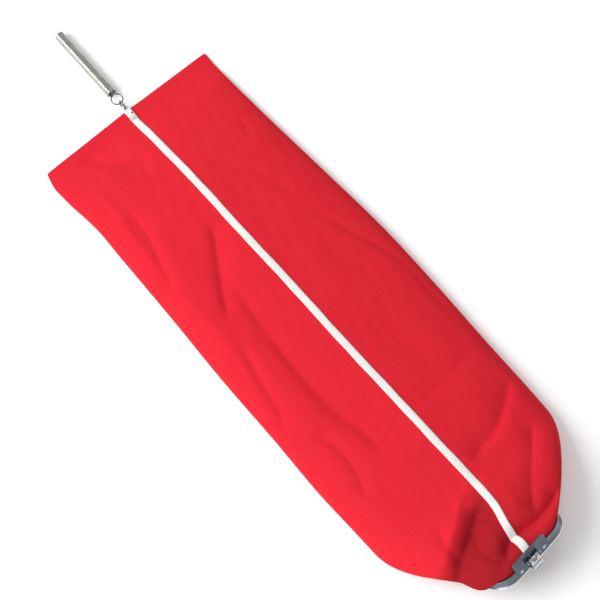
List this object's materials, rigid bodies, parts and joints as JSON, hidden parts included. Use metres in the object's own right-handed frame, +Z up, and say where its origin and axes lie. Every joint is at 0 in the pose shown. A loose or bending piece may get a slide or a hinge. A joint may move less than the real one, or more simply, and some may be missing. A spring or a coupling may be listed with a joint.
{
  "type": "vacuum cleaner cloth dust bag",
  "caption": "Red cloth outer dust bag with a white seam tape, a hanging spring on a link ring, and a steel mouth collar with a spring latch.",
  "frame": {"origin": "centre of the whole object's footprint, on the surface that the bag lies on", "axes": "+X across the bag, +Y along the bag from the mouth to the hanging spring, +Z up from the surface, on the side with the seam tape"},
  "size_m": [0.258, 0.8505, 0.0625],
  "materials": {
    "red_cloth": "matt woven cotton",
    "white_tape": "matt woven tape",
    "white_thread": "matt thread",
    "nickel_wire": "bright nickel plate",
    "zinc_steel": "bright zinc plate",
    "grey_plate": "dull grey plate",
    "dark_steel": "dark",
    "gasket_rubber": "matt moulded"
  },
  "bodies": {
    "bag": {"bag_cloth": "red_cloth", "seam_tape": "white_tape", "seam_stitching": "white_thread", "top_tab": "white_tape", "tab_eyelet": "white_thread", "tab_rivet": "dark_steel"},
    "link": {"link_ring": "nickel_wire"},
    "spring_lower": {"spring_lower_loop": "nickel_wire", "spring_coil": "nickel_wire"},
    "spring_upper": {"spring_upper_end": "nickel_wire"},
    "coupling": {"coupling_collar": "grey_plate", "clamp_sleeve": "zinc_steel", "mouth_gasket": "gasket_rubber", "latch_plate": "grey_plate", "plate_rivets": "zinc_steel", "latch_pin": "zinc_steel", "latch_spring": "nickel_wire", "rear_catch": "zinc_steel"},
    "latch": {"latch_lever": "zinc_steel"}
  },
  "joints": [
    {"name": "link_swivel", "type": "hinge", "parent": "bag", "child": "link", "pos_m": [0, 0.29515, 0.0066], "axis": [0, 0, 1], "range_deg": [-60, 60]},
    {"name": "spring_tilt", "type": "hinge", "parent": "link", "child": "spring_lower", "pos_m": [0, 0.3045, 0.00635], "axis": [1, 0, 0], "range_deg": [-60, 90]},
    {"name": "spring_stretch", "type": "slide", "parent": "spring_lower", "child": "spring_upper", "axis": [0, 1, 0], "range_m": [0, 0.06], "stiffness_N_per_m": 730, "deforming": ["spring_coil"]},
    {"name": "neck_flex", "type": "hinge", "parent": "bag", "child": "coupling", "pos_m": [-0.008, -0.35665, 0.016], "axis": [-0.9925, -0.1219, 0], "range_deg": [0, 40], "deforming": ["bag_cloth", "seam_tape", "seam_stitching"]},
    {"name": "latch_lift", "type": "hinge", "parent": "coupling", "child": "latch", "pos_m": [-0.01231, -0.41283, 0.05603], "axis": [-0.9925, -0.1219, 0], "range_deg": [0, 25], "stiffness_Nm_per_rad": 0.05, "springref_deg": -17.19, "deforming": ["latch_spring"]}
  ]
}
